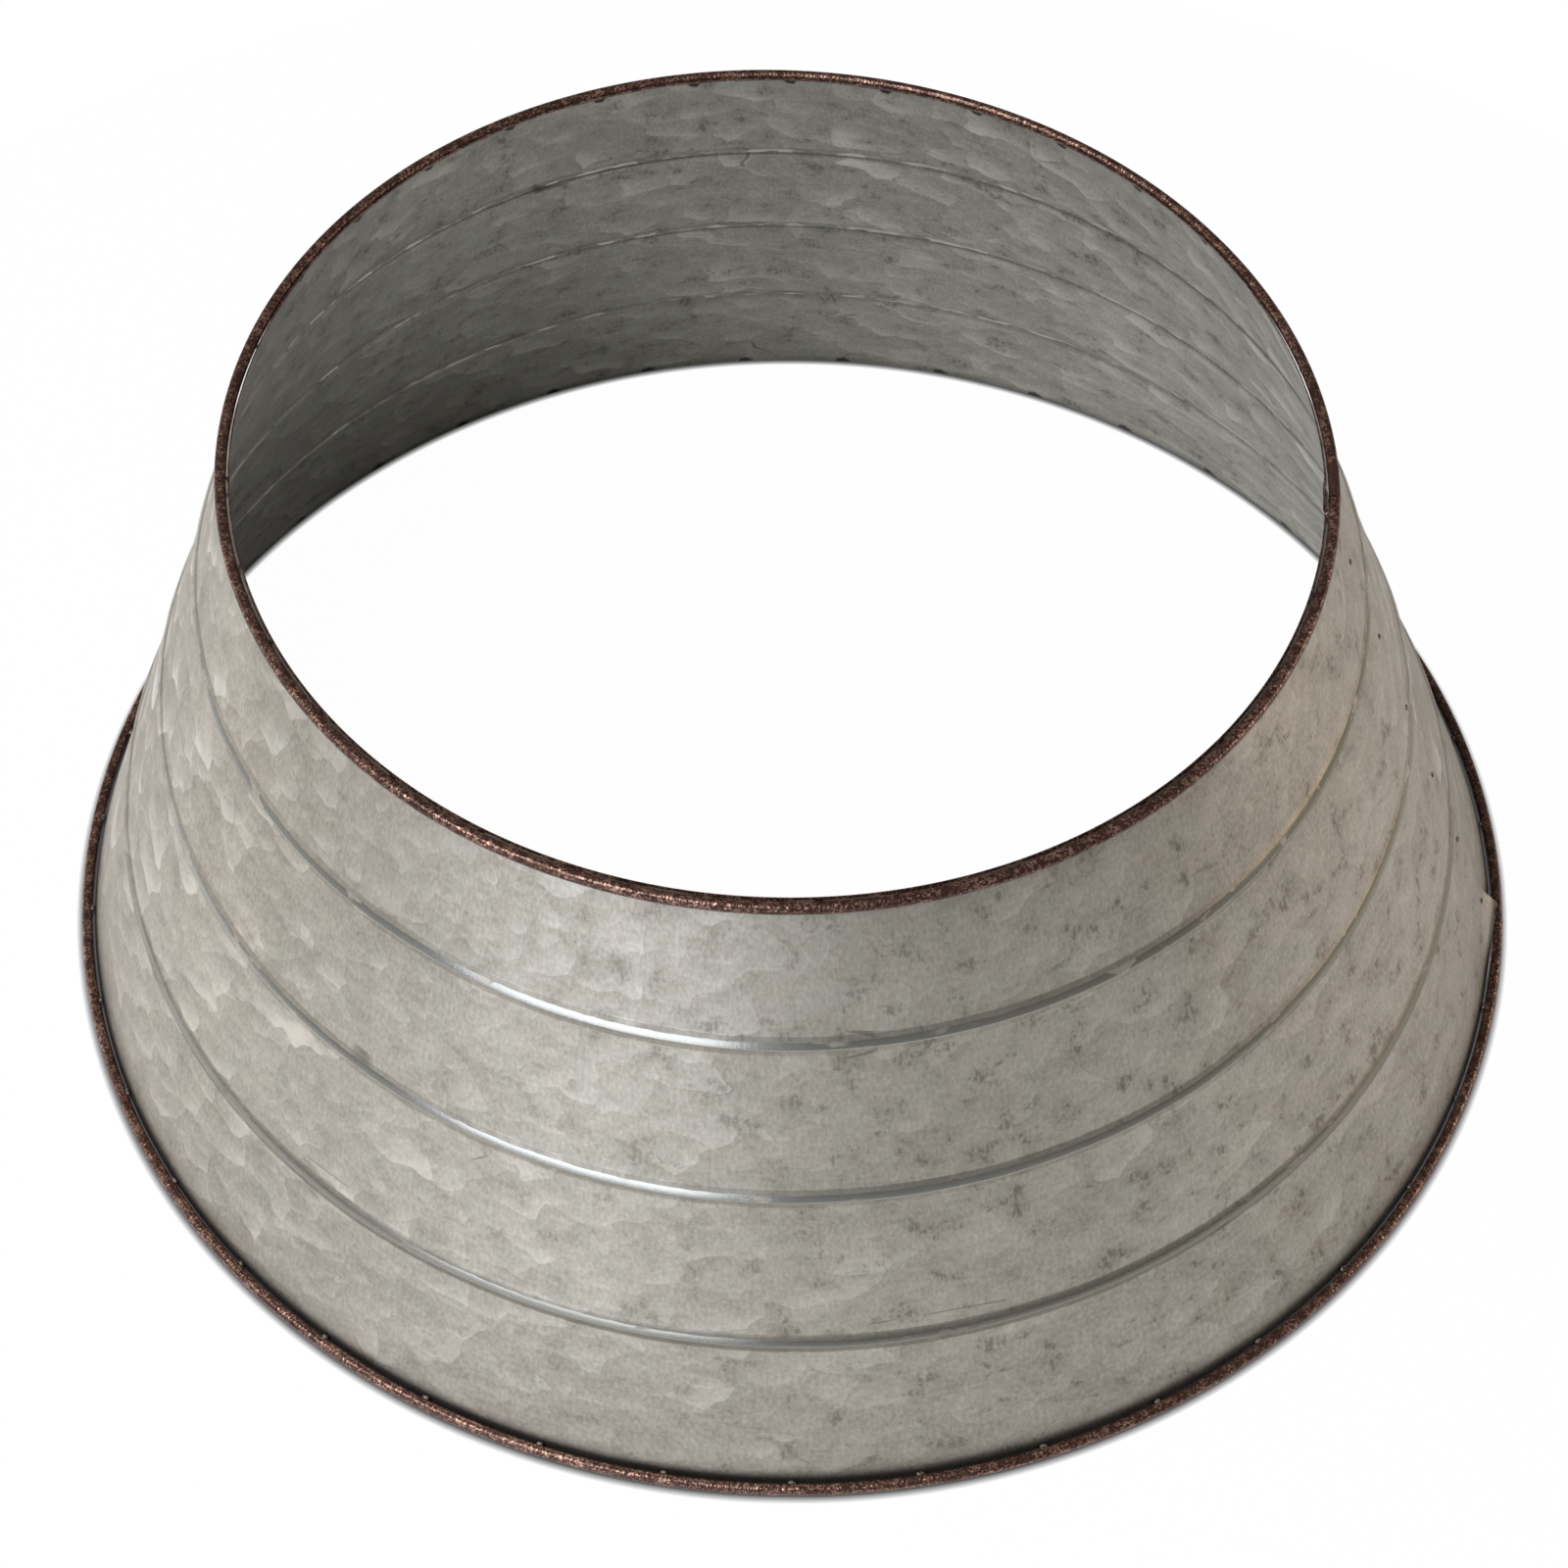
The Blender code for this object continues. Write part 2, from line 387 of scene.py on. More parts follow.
def galvanised_sheet(outside, inside, painted):
    """The ribbed sheet, with its flat pattern's coordinates in metres kept as a UV map."""
    mesh = bmesh.new()
    rows = sheet_rows()
    angles = stations(lap_start, math.tau + lap_end)
    sections = bridge(mesh, [sheet_section(angle, rows) for angle in angles])
    for section in (sections[0], sections[-1]):
        for k in range(len(rows) - 1):
            mesh.faces.new((section[k], section[k + 1], section[-k - 2], section[-k - 1]))
    places = {}
    for angle, section in zip(angles, sections):
        for corner, (distance, rise) in zip(section, rows + rows[::-1]):
            places[corner] = (angle * middle_radius, distance)
    inner = {corner for section in sections for corner in section[len(rows):]}
    lip = {corner for section in sections for corner in section[:2] + section[-2:]}
    finishes = (outside, inside, painted)
    unrolled = mesh.loops.layers.uv.new("unrolled")
    for face in mesh.faces:
        if all(corner in lip for corner in face.verts):
            face.material_index = finishes.index(painted)
        elif all(corner in inner for corner in face.verts):
            face.material_index = finishes.index(inside)
        for loop in face.loops:
            loop[unrolled].uv = places[loop.vert]
    add_piece("ribbed_sheet", mesh, finishes, ["collar_sheet"])


def wire_section(angle, radius, height, thickness):
    """Points round the wire where a hoop crosses one angle."""
    loop = []
    for k in range(wire_sides):
        turn = math.tau * k / wire_sides
        out = thickness * math.cos(turn)
        up = thickness * math.sin(turn)
        loop.append(ring_point(angle, radius + out, height + up))
    return loop


def wire(name, angles, radius, height, thicknesses, finishes, node):
    """A stretch of a hoop's wire through the angles, with flat ends."""
    mesh = bmesh.new()
    places = zip(angles, thicknesses)
    rows = bridge(mesh, [wire_section(angle, radius, height, thickness) for angle, thickness in places])
    mesh.faces.new(rows[0])
    mesh.faces.new(rows[-1])
    if len(finishes) > 1:
        touched = {corner for angle, row in zip(angles, rows) for corner in row if angle < touch_up_angle}
        for face in mesh.faces:
            face.material_index = int(all(corner in touched for corner in face.verts))
    add_piece(name, mesh, finishes, [node])


def hoop(name, radius, height, finishes):
    """A hoop bent from one wire, and the swollen butt weld that closes it."""
    weld_half = hoop_joint_length / 2 / radius
    end_half = weld_half + fit_gap / radius
    angles = stations(seam_angle + end_half, seam_angle + math.tau - end_half)
    wire(name + "_wire", angles, radius, height, [wire_radius] * len(angles), finishes, name)
    steps = range(joint_steps + 1)
    turns = [seam_angle + weld_half * (2 * k / joint_steps - 1) for k in steps]
    swell = [1 + hoop_joint_swell_share * math.sin(math.pi * k / joint_steps) for k in steps]
    thicknesses = [wire_radius * share for share in swell]
    wire(name + "_butt_weld", turns, radius, height, thicknesses, finishes[:1], name + "_joint_weld")


def tack_welds(name, hoop_name, radius, height, gap, fullness, side, angles, finish):
    """Weld beads in the groove between a hoop and the sheet. The side is 1 above the hoop, -1 below it."""
    bead_radius = gap * tack_gap_share + fullness
    reach = wire_radius + bead_radius * tack_fuse_share
    inwards = wire_radius + gap - fit_gap - bead_radius
    up_slant = side * math.sqrt(reach**2 - inwards**2)
    bead_ring = radius - outward.x * inwards - down_slant.x * up_slant
    bead_height = height - outward.y * inwards - down_slant.y * up_slant
    draw = random.Random(name)
    mesh = bmesh.new()
    for angle in angles:
        half_length = tack_length / 2 * draw.uniform(*tack_length_shares)
        size = Matrix.Diagonal((half_length, bead_radius, bead_radius, 1))
        bead = bmesh.ops.create_icosphere(mesh, subdivisions=bead_subdivisions, radius=1)["verts"]
        sway = draw.uniform(-tack_pit_sway_share, tack_pit_sway_share)
        pit_axis = Vector((sway, tack_pit_out_share, side * tack_pit_up_share)).normalized()
        for corner in bead:
            pit = max(corner.co.dot(pit_axis) - tack_pit_edge_share, 0) / tack_pit_fade_share
            rough = draw.uniform(*tack_roughness_shares)
            corner.co *= 1 - tack_pit_share * pit + min(rough, 0)
        bmesh.ops.transform(mesh, matrix=ring_frame(angle, bead_ring, bead_height) @ size, verts=bead)
    add_piece(name, mesh, (finish,), [hoop_name])


def paint_bridges(finish):
    """Two runs of paint that fill the groove between the lip and the top hoop."""
    mesh = bmesh.new()
    radius, height = slant_point(0, sheet_thickness + paint_bridge_radii[1] / 2)
    size = Matrix.Diagonal((*paint_bridge_radii, 1))
    for angle in paint_bridge_angles:
        place = ring_frame(angle, radius, height - paint_bridge_radii[2]) @ size
        bmesh.ops.create_icosphere(mesh, subdivisions=bead_subdivisions, radius=1, matrix=place)
    add_piece("top_hoop_paint_bridges", mesh, (finish,), ["top_hoop"])


def spread(start, count):
    """Angles spread evenly round the collar."""
    return [start + math.tau * k / count for k in range(count)]


def clear_of_flare(angle):
    """Whether a tack weld at this angle stays clear of the sprung corner at the seam."""
    from_end = (lap_end - angle) % math.tau
    return flare_angle < from_end < math.tau - joggle_angle


def seam_spot_welds(finish):
    """The low round marks of the spot welds, each a shallow dome with a dented middle."""
    first = slant_length * seam_spot_top_share
    last = slant_length - flare_height - seam_spot_foot_room
    turns = [math.tau * side / spot_sides for side in range(spot_sides)]
    rings = []
    for across, rise in seam_spot_profile_shares:
        reach = seam_spot_radius * across
        rings.append([(reach * math.cos(t), seam_spot_height * rise, reach * math.sin(t)) for t in turns])
    for k in range(seam_spot_count):
        distance = first + (last - first) * k / (seam_spot_count - 1)
        radius, height = slant_point(distance, lap_step)
        mesh = bmesh.new()
        rows = bridge(mesh, rings)
        mesh.faces.new(rows[0])
        mesh.faces.new(rows[-1])
        bmesh.ops.transform(mesh, matrix=ring_frame(seam_angle, radius, height), verts=mesh.verts)
        node = f"side_seam_spot_weld_{k + 1}"
        add_piece(f"side_seam_spot_{k + 1}", mesh, (finish,), [node])


# Materials


def linear(hex_colour):
    """An sRGB hex colour as linear RGBA."""
    channels = [int(hex_colour[k:k + 2], 16) / 255 for k in (1, 3, 5)]
    return [c / 12.92 if c <= 0.04045 else ((c + 0.055) / 1.055) ** 2.4 for c in channels] + [1.0]


def per(millimetres):
    """The texture scale that gives a pattern one feature in so many millimetres."""
    return 1000 / millimetres


def add_node(tree, kind, inputs=None, output=0, **settings):
    """Adds a node with its settings and with its sockets set or linked. It gives back one output."""
    made = tree.nodes.new("ShaderNode" + kind)
    for name, value in settings.items():
        setattr(made, name, value)
    for socket, value in (inputs or {}).items():
        if isinstance(value, bpy.types.NodeSocket):
            tree.links.new(value, made.inputs[socket])
        else:
            made.inputs[socket].default_value = value
    return made.outputs[output]


def new_material(name):
    """A node material, its tree and its shader."""
    made = bpy.data.materials.new(name)
    made.use_nodes = True
    return made, made.node_tree, made.node_tree.nodes["Principled BSDF"]


def drawn_out_noise(tree, flat, size, along=1.0, down=1.0, detail=2.0):
    """Noise of a size in millimetres, drawn out round the sheet or down it by a scale below 1."""
    place = add_node(tree, "Mapping", {"Vector": flat, "Scale": (along, down, 1.0)})
    return add_node(tree, "TexNoise", {"Vector": place, "Scale": per(size), "Detail": detail})


def zinc_leaves(tree, flat, size, shift):
    """Leaf-shaped zinc crystals that overlap like scales: bright along the lower right edge, fading away
    from it. It gives back the fade and each leaf's own two random tones."""
    wander_scale = per(size * 0.8)
    wander = add_node(
        tree, "TexNoise", {"Vector": flat, "Scale": wander_scale, "Detail": 0.6}, output="Color"
    )
    bend = (1 / wander_scale, 1 / wander_scale, 0)
    warped = add_node(tree, "VectorMath", {0: wander, 1: bend, 2: flat}, operation="MULTIPLY_ADD")
    leaves = add_node(
        tree, "Mapping", {"Vector": warped, "Location": (shift, shift, 0), "Scale": (0.7, 1.0, 1.0)}
    )
    cell = add_node(tree, "TexVoronoi", {"Vector": leaves, "Scale": per(size)}, output="Color")
    middle = cell.node.outputs["Position"]
    away = add_node(tree, "VectorMath", {0: leaves, 1: middle}, operation="SUBTRACT")
    falling = (per(size) * 0.6, per(size) * 0.8, 0)
    slope = add_node(tree, "VectorMath", {0: away, 1: falling}, output="Value", operation="DOT_PRODUCT")
    fade = add_node(tree, "MapRange", {"Value": slope, "From Min": -0.4, "From Max": 0.6})
    sharp = add_node(tree, "Math", {0: fade, 1: 2.0}, operation="POWER")
    tones = add_node(tree, "SeparateColor", {"Color": cell})
    return sharp, tones, tones.node.outputs[1]


def tack_burns(tree, across, down, start, count, radius, edge, reach):
    """Round burns along one edge of the sheet, one at each tack weld, as a value from 0 to 1."""
    spacing = math.tau / count
    turn = add_node(
        tree, "Math", {0: across, 1: 1 / (middle_radius * spacing), 2: 0.5 - start / spacing},
        operation="MULTIPLY_ADD",
    )
    part = add_node(tree, "Math", {0: turn}, operation="FRACT")
    nearest = add_node(
        tree, "Math", {0: part, 1: spacing * radius, 2: -spacing * radius / 2}, operation="MULTIPLY_ADD"
    )
    depth = add_node(tree, "Math", {0: down, 1: edge}, operation="SUBTRACT")
    offset = add_node(tree, "CombineXYZ", {0: nearest, 1: depth})
    rough = add_node(tree, "TexNoise", {"Vector": offset, "Scale": per(burn_rim_size), "Detail": 2.0})
    distance = add_node(tree, "VectorMath", {0: offset}, output="Value", operation="LENGTH")
    ragged = add_node(tree, "Math", {0: rough, 1: reach, 2: distance}, operation="MULTIPLY_ADD")
    return add_node(tree, "MapRange", {"Value": ragged, "From Min": reach * 1.5, "From Max": reach * 1.1})


def rib_marks(tree, down, low_share, high_share, place_shares=rib_place_shares):
    """Where the sheet lies between two shares of a rib's width, round each rib, as 0 or 1."""
    found = None
    for share in place_shares:
        middle = slant_length * share + rib_width * (low_share + high_share) / 2
        half = rib_width * (high_share - low_share) / 2
        mark = add_node(tree, "Math", {0: down, 1: middle, 2: half}, operation="COMPARE")
        found = add_node(tree, "Math", {0: mark, 1: found}, operation="ADD") if found else mark
    return found


def zinc_skin(tree, flat, down, leaf_sheen_contrast, light, dark, foot_level):
    """The dull zinc's colour, from its crystals, felt, short strokes and faint rolling lines, with a painted
    shade that darkens it towards the foot. It gives back the colour, the large crystals, the felt and the
    strokes."""
    fade, big_tone, strength = zinc_leaves(tree, flat, large_leaf_size, 0)
    small_fade, small_tone, small_strength = zinc_leaves(tree, flat, small_leaf_size, 0.5)
    # Painted sheen: the crystals' colour contrast is raised on the lit side and lowered past the clean part
    fade = add_node(tree, "Math", {0: fade, 1: leaf_sheen_contrast}, operation="MULTIPLY")
    small_fade = add_node(tree, "Math", {0: small_fade, 1: leaf_sheen_contrast}, operation="MULTIPLY")
    leaf = add_node(tree, "Math", {0: fade, 1: strength}, operation="MULTIPLY")
    small_leaf = add_node(tree, "Math", {0: small_fade, 1: small_strength}, operation="MULTIPLY")
    broad = add_node(tree, "TexNoise", {"Vector": flat, "Scale": per(tone_patch_size), "Detail": 3.0})
    felt = drawn_out_noise(tree, flat, felt_grain_size, down=0.6)
    strokes = drawn_out_noise(tree, flat, stroke_size, down=0.25)
    rolled = drawn_out_noise(tree, flat, rolling_line_size, along=0.02)
    tone = 0
    shares = (
        (leaf, 0.42), (small_leaf, 0.20), (big_tone, 0.12), (small_tone, 0.06), (broad, 0.34),
        (felt, 0.56), (strokes, 0.28), (rolled, 0.14),
    )
    for part, share in shares:
        tone = add_node(tree, "Math", {0: part, 1: share, 2: tone}, operation="MULTIPLY_ADD")
    level = add_node(tree, "MapRange", {"Value": tone, "From Min": 0.38, "From Max": 1.19})
    skin = add_node(tree, "Mix", {0: level, 6: linear(dark), 7: linear(light)}, output=2, data_type="RGBA")
    tint = add_node(tree, "TexNoise", {"Vector": flat, "Scale": per(tint_patch_size), "Detail": 3.0})
    warm = add_node(tree, "MapRange", {"Value": tint, "From Min": 0.35, "From Max": 0.65})
    tints = add_node(
        tree, "Mix", {0: warm, 6: linear(cool_tint), 7: linear(warm_tint)}, output=2, data_type="RGBA"
    )
    # Painted shade: the zinc's tints are scaled down towards the foot, to foot_level there
    foot_darkening = add_node(
        tree, "MapRange",
        {
            "Value": down, "From Min": slant_length * foot_darkening_start_share, "From Max": slant_length,
            "To Min": 1, "To Max": foot_level,
        },
    )
    tints = add_node(tree, "VectorMath", {0: tints, "Scale": foot_darkening}, operation="SCALE")
    skin = add_node(
        tree, "Mix", {0: 1.0, 6: skin, 7: tints}, output=2, data_type="RGBA", blend_type="MULTIPLY"
    )
    return skin, leaf, felt, strokes


def stains_and_scratches(tree, flat, across, strokes, clean_end):
    """Clouds of short dark strokes in a haze, fainter before clean_end, and thin wandering scratches, as a
    value from 0 to 1."""
    cloud = add_node(
        tree, "TexNoise",
        {"Vector": flat, "Scale": per(stain_cloud_size), "Detail": 6.0, "Roughness": 0.72},
    )
    clouds = add_node(tree, "MapRange", {"Value": cloud, "From Min": 0.53, "From Max": 0.62})
    stroke = add_node(tree, "MapRange", {"Value": strokes, "From Min": 0.4, "From Max": 0.54})
    stained = add_node(tree, "Math", {0: clouds, 1: stroke}, operation="MULTIPLY")
    spotted = add_node(
        tree, "MapRange",
        {
            "Value": across, "From Min": clean_end, "From Max": clean_end + clean_fade,
            "To Min": clean_stain_share,
        },
    )
    stained = add_node(tree, "Math", {0: stained, 1: spotted}, operation="MULTIPLY")
    haze = add_node(tree, "MapRange", {"Value": cloud, "From Min": 0.42, "From Max": 0.75, "To Max": 0.5})
    marks = add_node(tree, "Math", {0: stained, 1: haze}, operation="MAXIMUM")
    wander = drawn_out_noise(tree, flat, scratch_wander_size, along=0.3, detail=1.0)
    lines = add_node(tree, "Math", {0: wander, 1: 0.5, 2: scratch_line_share}, operation="COMPARE")
    here = add_node(tree, "TexNoise", {"Vector": flat, "Scale": per(scratch_spread_size), "Detail": 1.0})
    shown = add_node(tree, "MapRange", {"Value": here, "From Min": 0.64, "From Max": 0.68})
    scratches = add_node(tree, "Math", {0: lines, 1: shown}, operation="MULTIPLY")
    return add_node(tree, "Math", {0: marks, 1: scratches}, operation="MAXIMUM")


def rib_wear_and_shade(tree, flat, across, down, clean_end, unworn):
    """Bands round the ribs with wavering edges, as values from 0 to 1: the folds beside each crest, which
    take painted shade, the crests where rollers burnished them, less before clean_end, and the whole of the
    lowest rib, which takes painted shade too."""
    nicks = drawn_out_noise(tree, flat, rib_nick_size, along=0.35, detail=3.0)
    wavering = add_node(tree, "Math", {0: nicks, 1: rib_edge_waver, 2: down}, operation="MULTIPLY_ADD")
    wavering = add_node(tree, "Math", {0: wavering, 1: -rib_edge_waver / 2}, operation="ADD")
    above = rib_marks(tree, wavering, *upper_fold_shares)
    below = rib_marks(tree, wavering, *lower_fold_shares)
    folds = add_node(tree, "Math", {0: above, 1: below}, operation="ADD")
    patches = drawn_out_noise(tree, flat, wear_patch_size, along=0.4)
    spared = add_node(
        tree, "MapRange",
        {
            "Value": across, "From Min": clean_end - clean_fade, "From Max": clean_end,
            "To Min": -clean_wear_loss, "To Max": 0,
        },
    )
    patches = add_node(tree, "Math", {0: patches, 1: spared}, operation="ADD")
    worn = add_node(
        tree, "MapRange", {"Value": patches, "From Min": 0.25 + unworn / 2, "From Max": 0.3 + unworn / 2}
    )
    crests = rib_marks(tree, wavering, *crest_shares)
    crests = add_node(tree, "Math", {0: crests, 1: worn}, operation="MULTIPLY")
    return folds, crests, rib_marks(tree, wavering, *lowest_rib_shares, rib_place_shares[-1:])


def hot_dip_galvanised_steel(
    name, light, dark, stain_and_shade, crest, shaded_side_crest, unworn, fold_shade, lowest_rib_shade, foot_level, clean_angle,
    dim_leaf_sheen_contrast, roughness, burn_reach
):
    """Hot-dip galvanised sheet steel, dulled by air: soft grey with faint leaf-shaped zinc crystals, dark
    stained patches of short strokes, a felt of fine grain, thin scratches, burnished ribs and burnt spots
    at the tack welds. The eye sees a satin metal that mirrors light only broadly. Unworn is the share of
    the ribs that the rollers left dull, fold_shade is how dark the painted shade on the folds beside them
    is, lowest_rib_shade is how dark the painted shade on the lowest rib is and foot_level is the brightness
    that a painted shade leaves at the foot, where a dark painted shade and reflection of the base hoop
    lies too. Up to clean_angle round the collar from its right side the sheet has fewer stains and less
    worn ribs. Past it only the dim_leaf_sheen_contrast share of the crystals' contrast is left, as a
    painted sheen that follows the light, and the crests turn to shaded_side_crest, a painted dark
    reflection."""
    made, tree, shader = new_material(name)
    flat = add_node(tree, "UVMap", output="UV", uv_map="unrolled")
    across = add_node(tree, "SeparateXYZ", {"Vector": flat})
    down = across.node.outputs[1]
    clean_end = middle_radius * clean_angle
    stained_start = clean_end + clean_fade
    # Painted sheen: the crystals' colour contrast follows the side the light falls on
    leaf_sheen_contrast = add_node(
        tree, "MapRange",
        {
            "Value": across, "From Min": clean_end, "From Max": stained_start,
            "To Min": lit_leaf_sheen_contrast, "To Max": dim_leaf_sheen_contrast,
        },
    )
    skin, leaf, felt, strokes = zinc_skin(tree, flat, down, leaf_sheen_contrast, light, dark, foot_level)
    marks = stains_and_scratches(tree, flat, across, strokes, clean_end)
    folds, crests, lowest_rib = rib_wear_and_shade(tree, flat, across, down, clean_end, unworn)

    marked = add_node(tree, "Math", {0: marks, 1: stain_share}, operation="MULTIPLY")
    # Painted shade on the folds beside each crest, in the stain colour
    shaded_folds = add_node(tree, "Math", {0: folds, 1: fold_shade}, operation="MULTIPLY")
    # Painted shade over the whole lowest rib, in the stain colour
    shaded_lowest_rib = add_node(tree, "Math", {0: lowest_rib, 1: lowest_rib_shade}, operation="MULTIPLY")
    # Painted dark reflection: past the stained start the burnished crests turn to a darker olive
    crest_shade_turn = add_node(
        tree, "MapRange", {"Value": across, "From Min": stained_start, "From Max": stained_start + clean_fade}
    )
    burnished_and_shaded_crest = add_node(
        tree, "Mix", {0: crest_shade_turn, 6: linear(crest), 7: linear(shaded_side_crest)}, output=2, data_type="RGBA"
    )
    # Painted shade and painted reflection of the base hoop: a dark band along the foot, scaled with the
    # folds' painted shade
    foot_shade = add_node(
        tree, "MapRange",
        {
            "Value": down, "From Min": slant_length - foot_shade_height,
            "From Max": slant_length - full_foot_shade_height, "To Max": fold_shade * foot_shade_to_fold_shade_share,
        },
        interpolation_type="SMOOTHSTEP",
    )
    foot = (base_tack_start, base_tack_count, sheet_foot_radius, slant_length, burn_reach)
    rim = (top_tack_start, top_tack_count, sheet_top_radius, lip_paint_depth, burn_reach * rim_burn_share)
    burns = [tack_burns(tree, across, down, *place) for place in (foot, rim)]
    burnt = add_node(tree, "Math", {0: burns[0], 1: burns[1]}, operation="MAXIMUM")
    # Layers over the zinc: real stains, painted shade on the folds, the burnished crests, painted shade on
    # the lowest rib, painted shade and reflection along the foot, and the burns
    layers = (
        (marked, linear(stain_and_shade)),
        (shaded_folds, linear(stain_and_shade)),
        (crests, burnished_and_shaded_crest),
        (shaded_lowest_rib, linear(stain_and_shade)),
        (foot_shade, linear(foot_shade_colour)),
        (burnt, linear(burn_colour)),
    )
    for share, colour in layers:
        skin = add_node(tree, "Mix", {0: share, 6: skin, 7: colour}, output=2, data_type="RGBA")

    tree.links.new(skin, shader.inputs["Base Color"])
    shader.inputs["Metallic"].default_value = 0.88
    rough = add_node(
        tree, "MapRange", {"Value": leaf, "To Min": roughness + 0.05, "To Max": roughness - 0.15}
    )
    rough = add_node(tree, "Math", {0: marks, 1: 0.12, 2: rough}, operation="MULTIPLY_ADD")
    rough = add_node(tree, "Mix", {0: crests, 2: rough, 3: roughness * 0.6}, data_type="FLOAT")
    tree.links.new(rough, shader.inputs["Roughness"])
    relief = add_node(tree, "Math", {0: strokes, 1: 0.5, 2: felt}, operation="MULTIPLY_ADD")
    bump = add_node(
        tree, "Bump", {"Height": relief, "Strength": 0.3, "Distance": felt_depth}, output="Normal"
    )
    tree.links.new(bump, shader.inputs["Normal"])
    return made


def hammered_bronze_paint(name, fleck_share, roughness):
    """Hammered-finish paint on steel wire: dark brown with copper flecks and small dimples, so that it
    sparkles where the light catches it. With few flecks it is the flat paint of a touched-up stretch."""
    made, tree, shader = new_material(name)
    place = add_node(tree, "TexCoord", output="Object")
    fleck = add_node(tree, "TexVoronoi", {"Vector": place, "Scale": per(paint_fleck_size)}, output="Color")
    pick = add_node(tree, "SeparateColor", {"Color": fleck})
    drift = add_node(tree, "TexNoise", {"Vector": place, "Scale": per(paint_drift_size), "Detail": 2.0})
    shine = add_node(tree, "Math", {0: pick, 1: drift}, operation="MULTIPLY")
    copper = add_node(
        tree, "MapRange", {"Value": shine, "From Min": 0.22, "From Max": 0.55, "To Max": fleck_share}
    )
    colour = add_node(
        tree, "Mix", {0: copper, 6: linear(paint_brown), 7: linear(fleck_copper)}, output=2, data_type="RGBA"
    )
    tree.links.new(colour, shader.inputs["Base Color"])
    shader.inputs["Metallic"].default_value = 0.6
    shader.inputs["Roughness"].default_value = roughness
    dimple = add_node(
        tree, "TexVoronoi", {"Vector": place, "Scale": per(paint_dimple_size)}, output="Distance"
    )
    bump = add_node(
        tree, "Bump", {"Height": dimple, "Strength": fleck_share, "Distance": paint_dimple_depth},
        output="Normal",
    )
    tree.links.new(bump, shader.inputs["Normal"])
    return made


def burnt_weld_steel():
    """Small arc-welded beads left as they cooled: dull grey steel with brown and black scale."""
    made, tree, shader = new_material("burnt weld steel")
    place = add_node(tree, "TexCoord", output="Object")
    scale = add_node(tree, "TexNoise", {"Vector": place, "Scale": per(weld_scale_size), "Detail": 3.0})
    cover = add_node(tree, "MapRange", {"Value": scale, "From Min": 0.4, "From Max": 0.6})
    colour = add_node(
        tree, "Mix", {0: cover, 6: linear(weld_grey), 7: linear(weld_scale_brown)}, output=2, data_type="RGBA"
    )
    tree.links.new(colour, shader.inputs["Base Color"])
    shader.inputs["Metallic"].default_value = 0.7
    shader.inputs["Roughness"].default_value = 0.5
    bump = add_node(
        tree, "Bump", {"Height": scale, "Strength": 0.5, "Distance": weld_scale_depth}, output="Normal"
    )
    tree.links.new(bump, shader.inputs["Normal"])
    return made


# Studio

# The camera, with its lens and sensor in millimetres
camera_distance = 1.5481
camera_elevation = math.radians(53.084)
camera_turn = math.radians(0.169)
camera_tilt = math.radians(1.130)
camera_roll = math.radians(0.624)
camera_lens = 72.79
camera_sensor = 36

# The table top and the surround, as the camera sees them and as the metal mirrors them
table_radius = 0.69
table_sides = 96
contact_shadow_reach = 0.0035
contact_shadow_power = 2.5
view_reach = 20
white_share_seen = 0.985
white_share_in_metal = 0.05
world_seen_strength = 1.0
world_metal_strength = 0.12
world_low_metal_strength = 0.48
world_low_rise = -0.35
world_high_rise = -0.05
world_light_strength = 0.22
white = "#ffffff"
floor_grey = "#e6e6e6"

# Softboxes: (name, azimuth and elevation in degrees, distance, width, height, power, colour)
softboxes = (
    ("key softbox", -118, 4, 2.4, 1.8, 0.8, 17, "#eef3ff"),
    ("high softbox", -142, 57, 3.2, 1.8, 1.8, 110, white),
    ("right softbox", 4, 10, 2.6, 1.6, 0.8, 18, "#ffead6"),
    ("left softbox", 176, 10, 2.6, 1.6, 0.8, 11.5, "#fff4ea"),
)


def camera():
    """The camera at the photograph's viewing angle."""
    place = Vector((0, -math.cos(camera_elevation), math.sin(camera_elevation))) * camera_distance
    back = place.normalized()
    right = Vector((1, 0, 0))
    axes = Matrix((right, back.cross(right), back)).transposed()
    aim = Matrix.Rotation(camera_turn, 3, "Y") @ Matrix.Rotation(camera_tilt, 3, "X")
    axes = axes @ aim @ Matrix.Rotation(camera_roll, 3, "Z")
    lens = bpy.data.cameras.new("camera")
    lens.lens = camera_lens
    lens.sensor_width = camera_sensor
    lens.clip_end = view_reach
    made = bpy.data.objects.new("camera", lens)
    made.matrix_world = Matrix.Translation(place) @ axes.to_4x4()
    bpy.context.scene.collection.objects.link(made)
    bpy.context.scene.camera = made


def softbox(name, azimuth, elevation, distance, width, height, power, colour):
    """A rectangular light aimed at the collar's middle. Azimuth and elevation are in degrees."""
    turn, rise = math.radians(azimuth), math.radians(elevation)
    away = Vector((math.cos(turn) * math.cos(rise), math.sin(turn) * math.cos(rise), math.sin(rise)))
    lamp = bpy.data.lights.new(name, "AREA")
    lamp.shape = "RECTANGLE"
    lamp.size = width
    lamp.size_y = height
    lamp.energy = power
    lamp.color = linear(colour)[:3]
    made = bpy.data.objects.new(name, lamp)
    aim = away.to_track_quat("Z", "Y").to_matrix().to_4x4()
    middle = Vector((0, 0, sheet_top_height / 2))
    made.matrix_world = Matrix.Translation(middle + away * distance) @ aim
    bpy.context.scene.collection.objects.link(made)


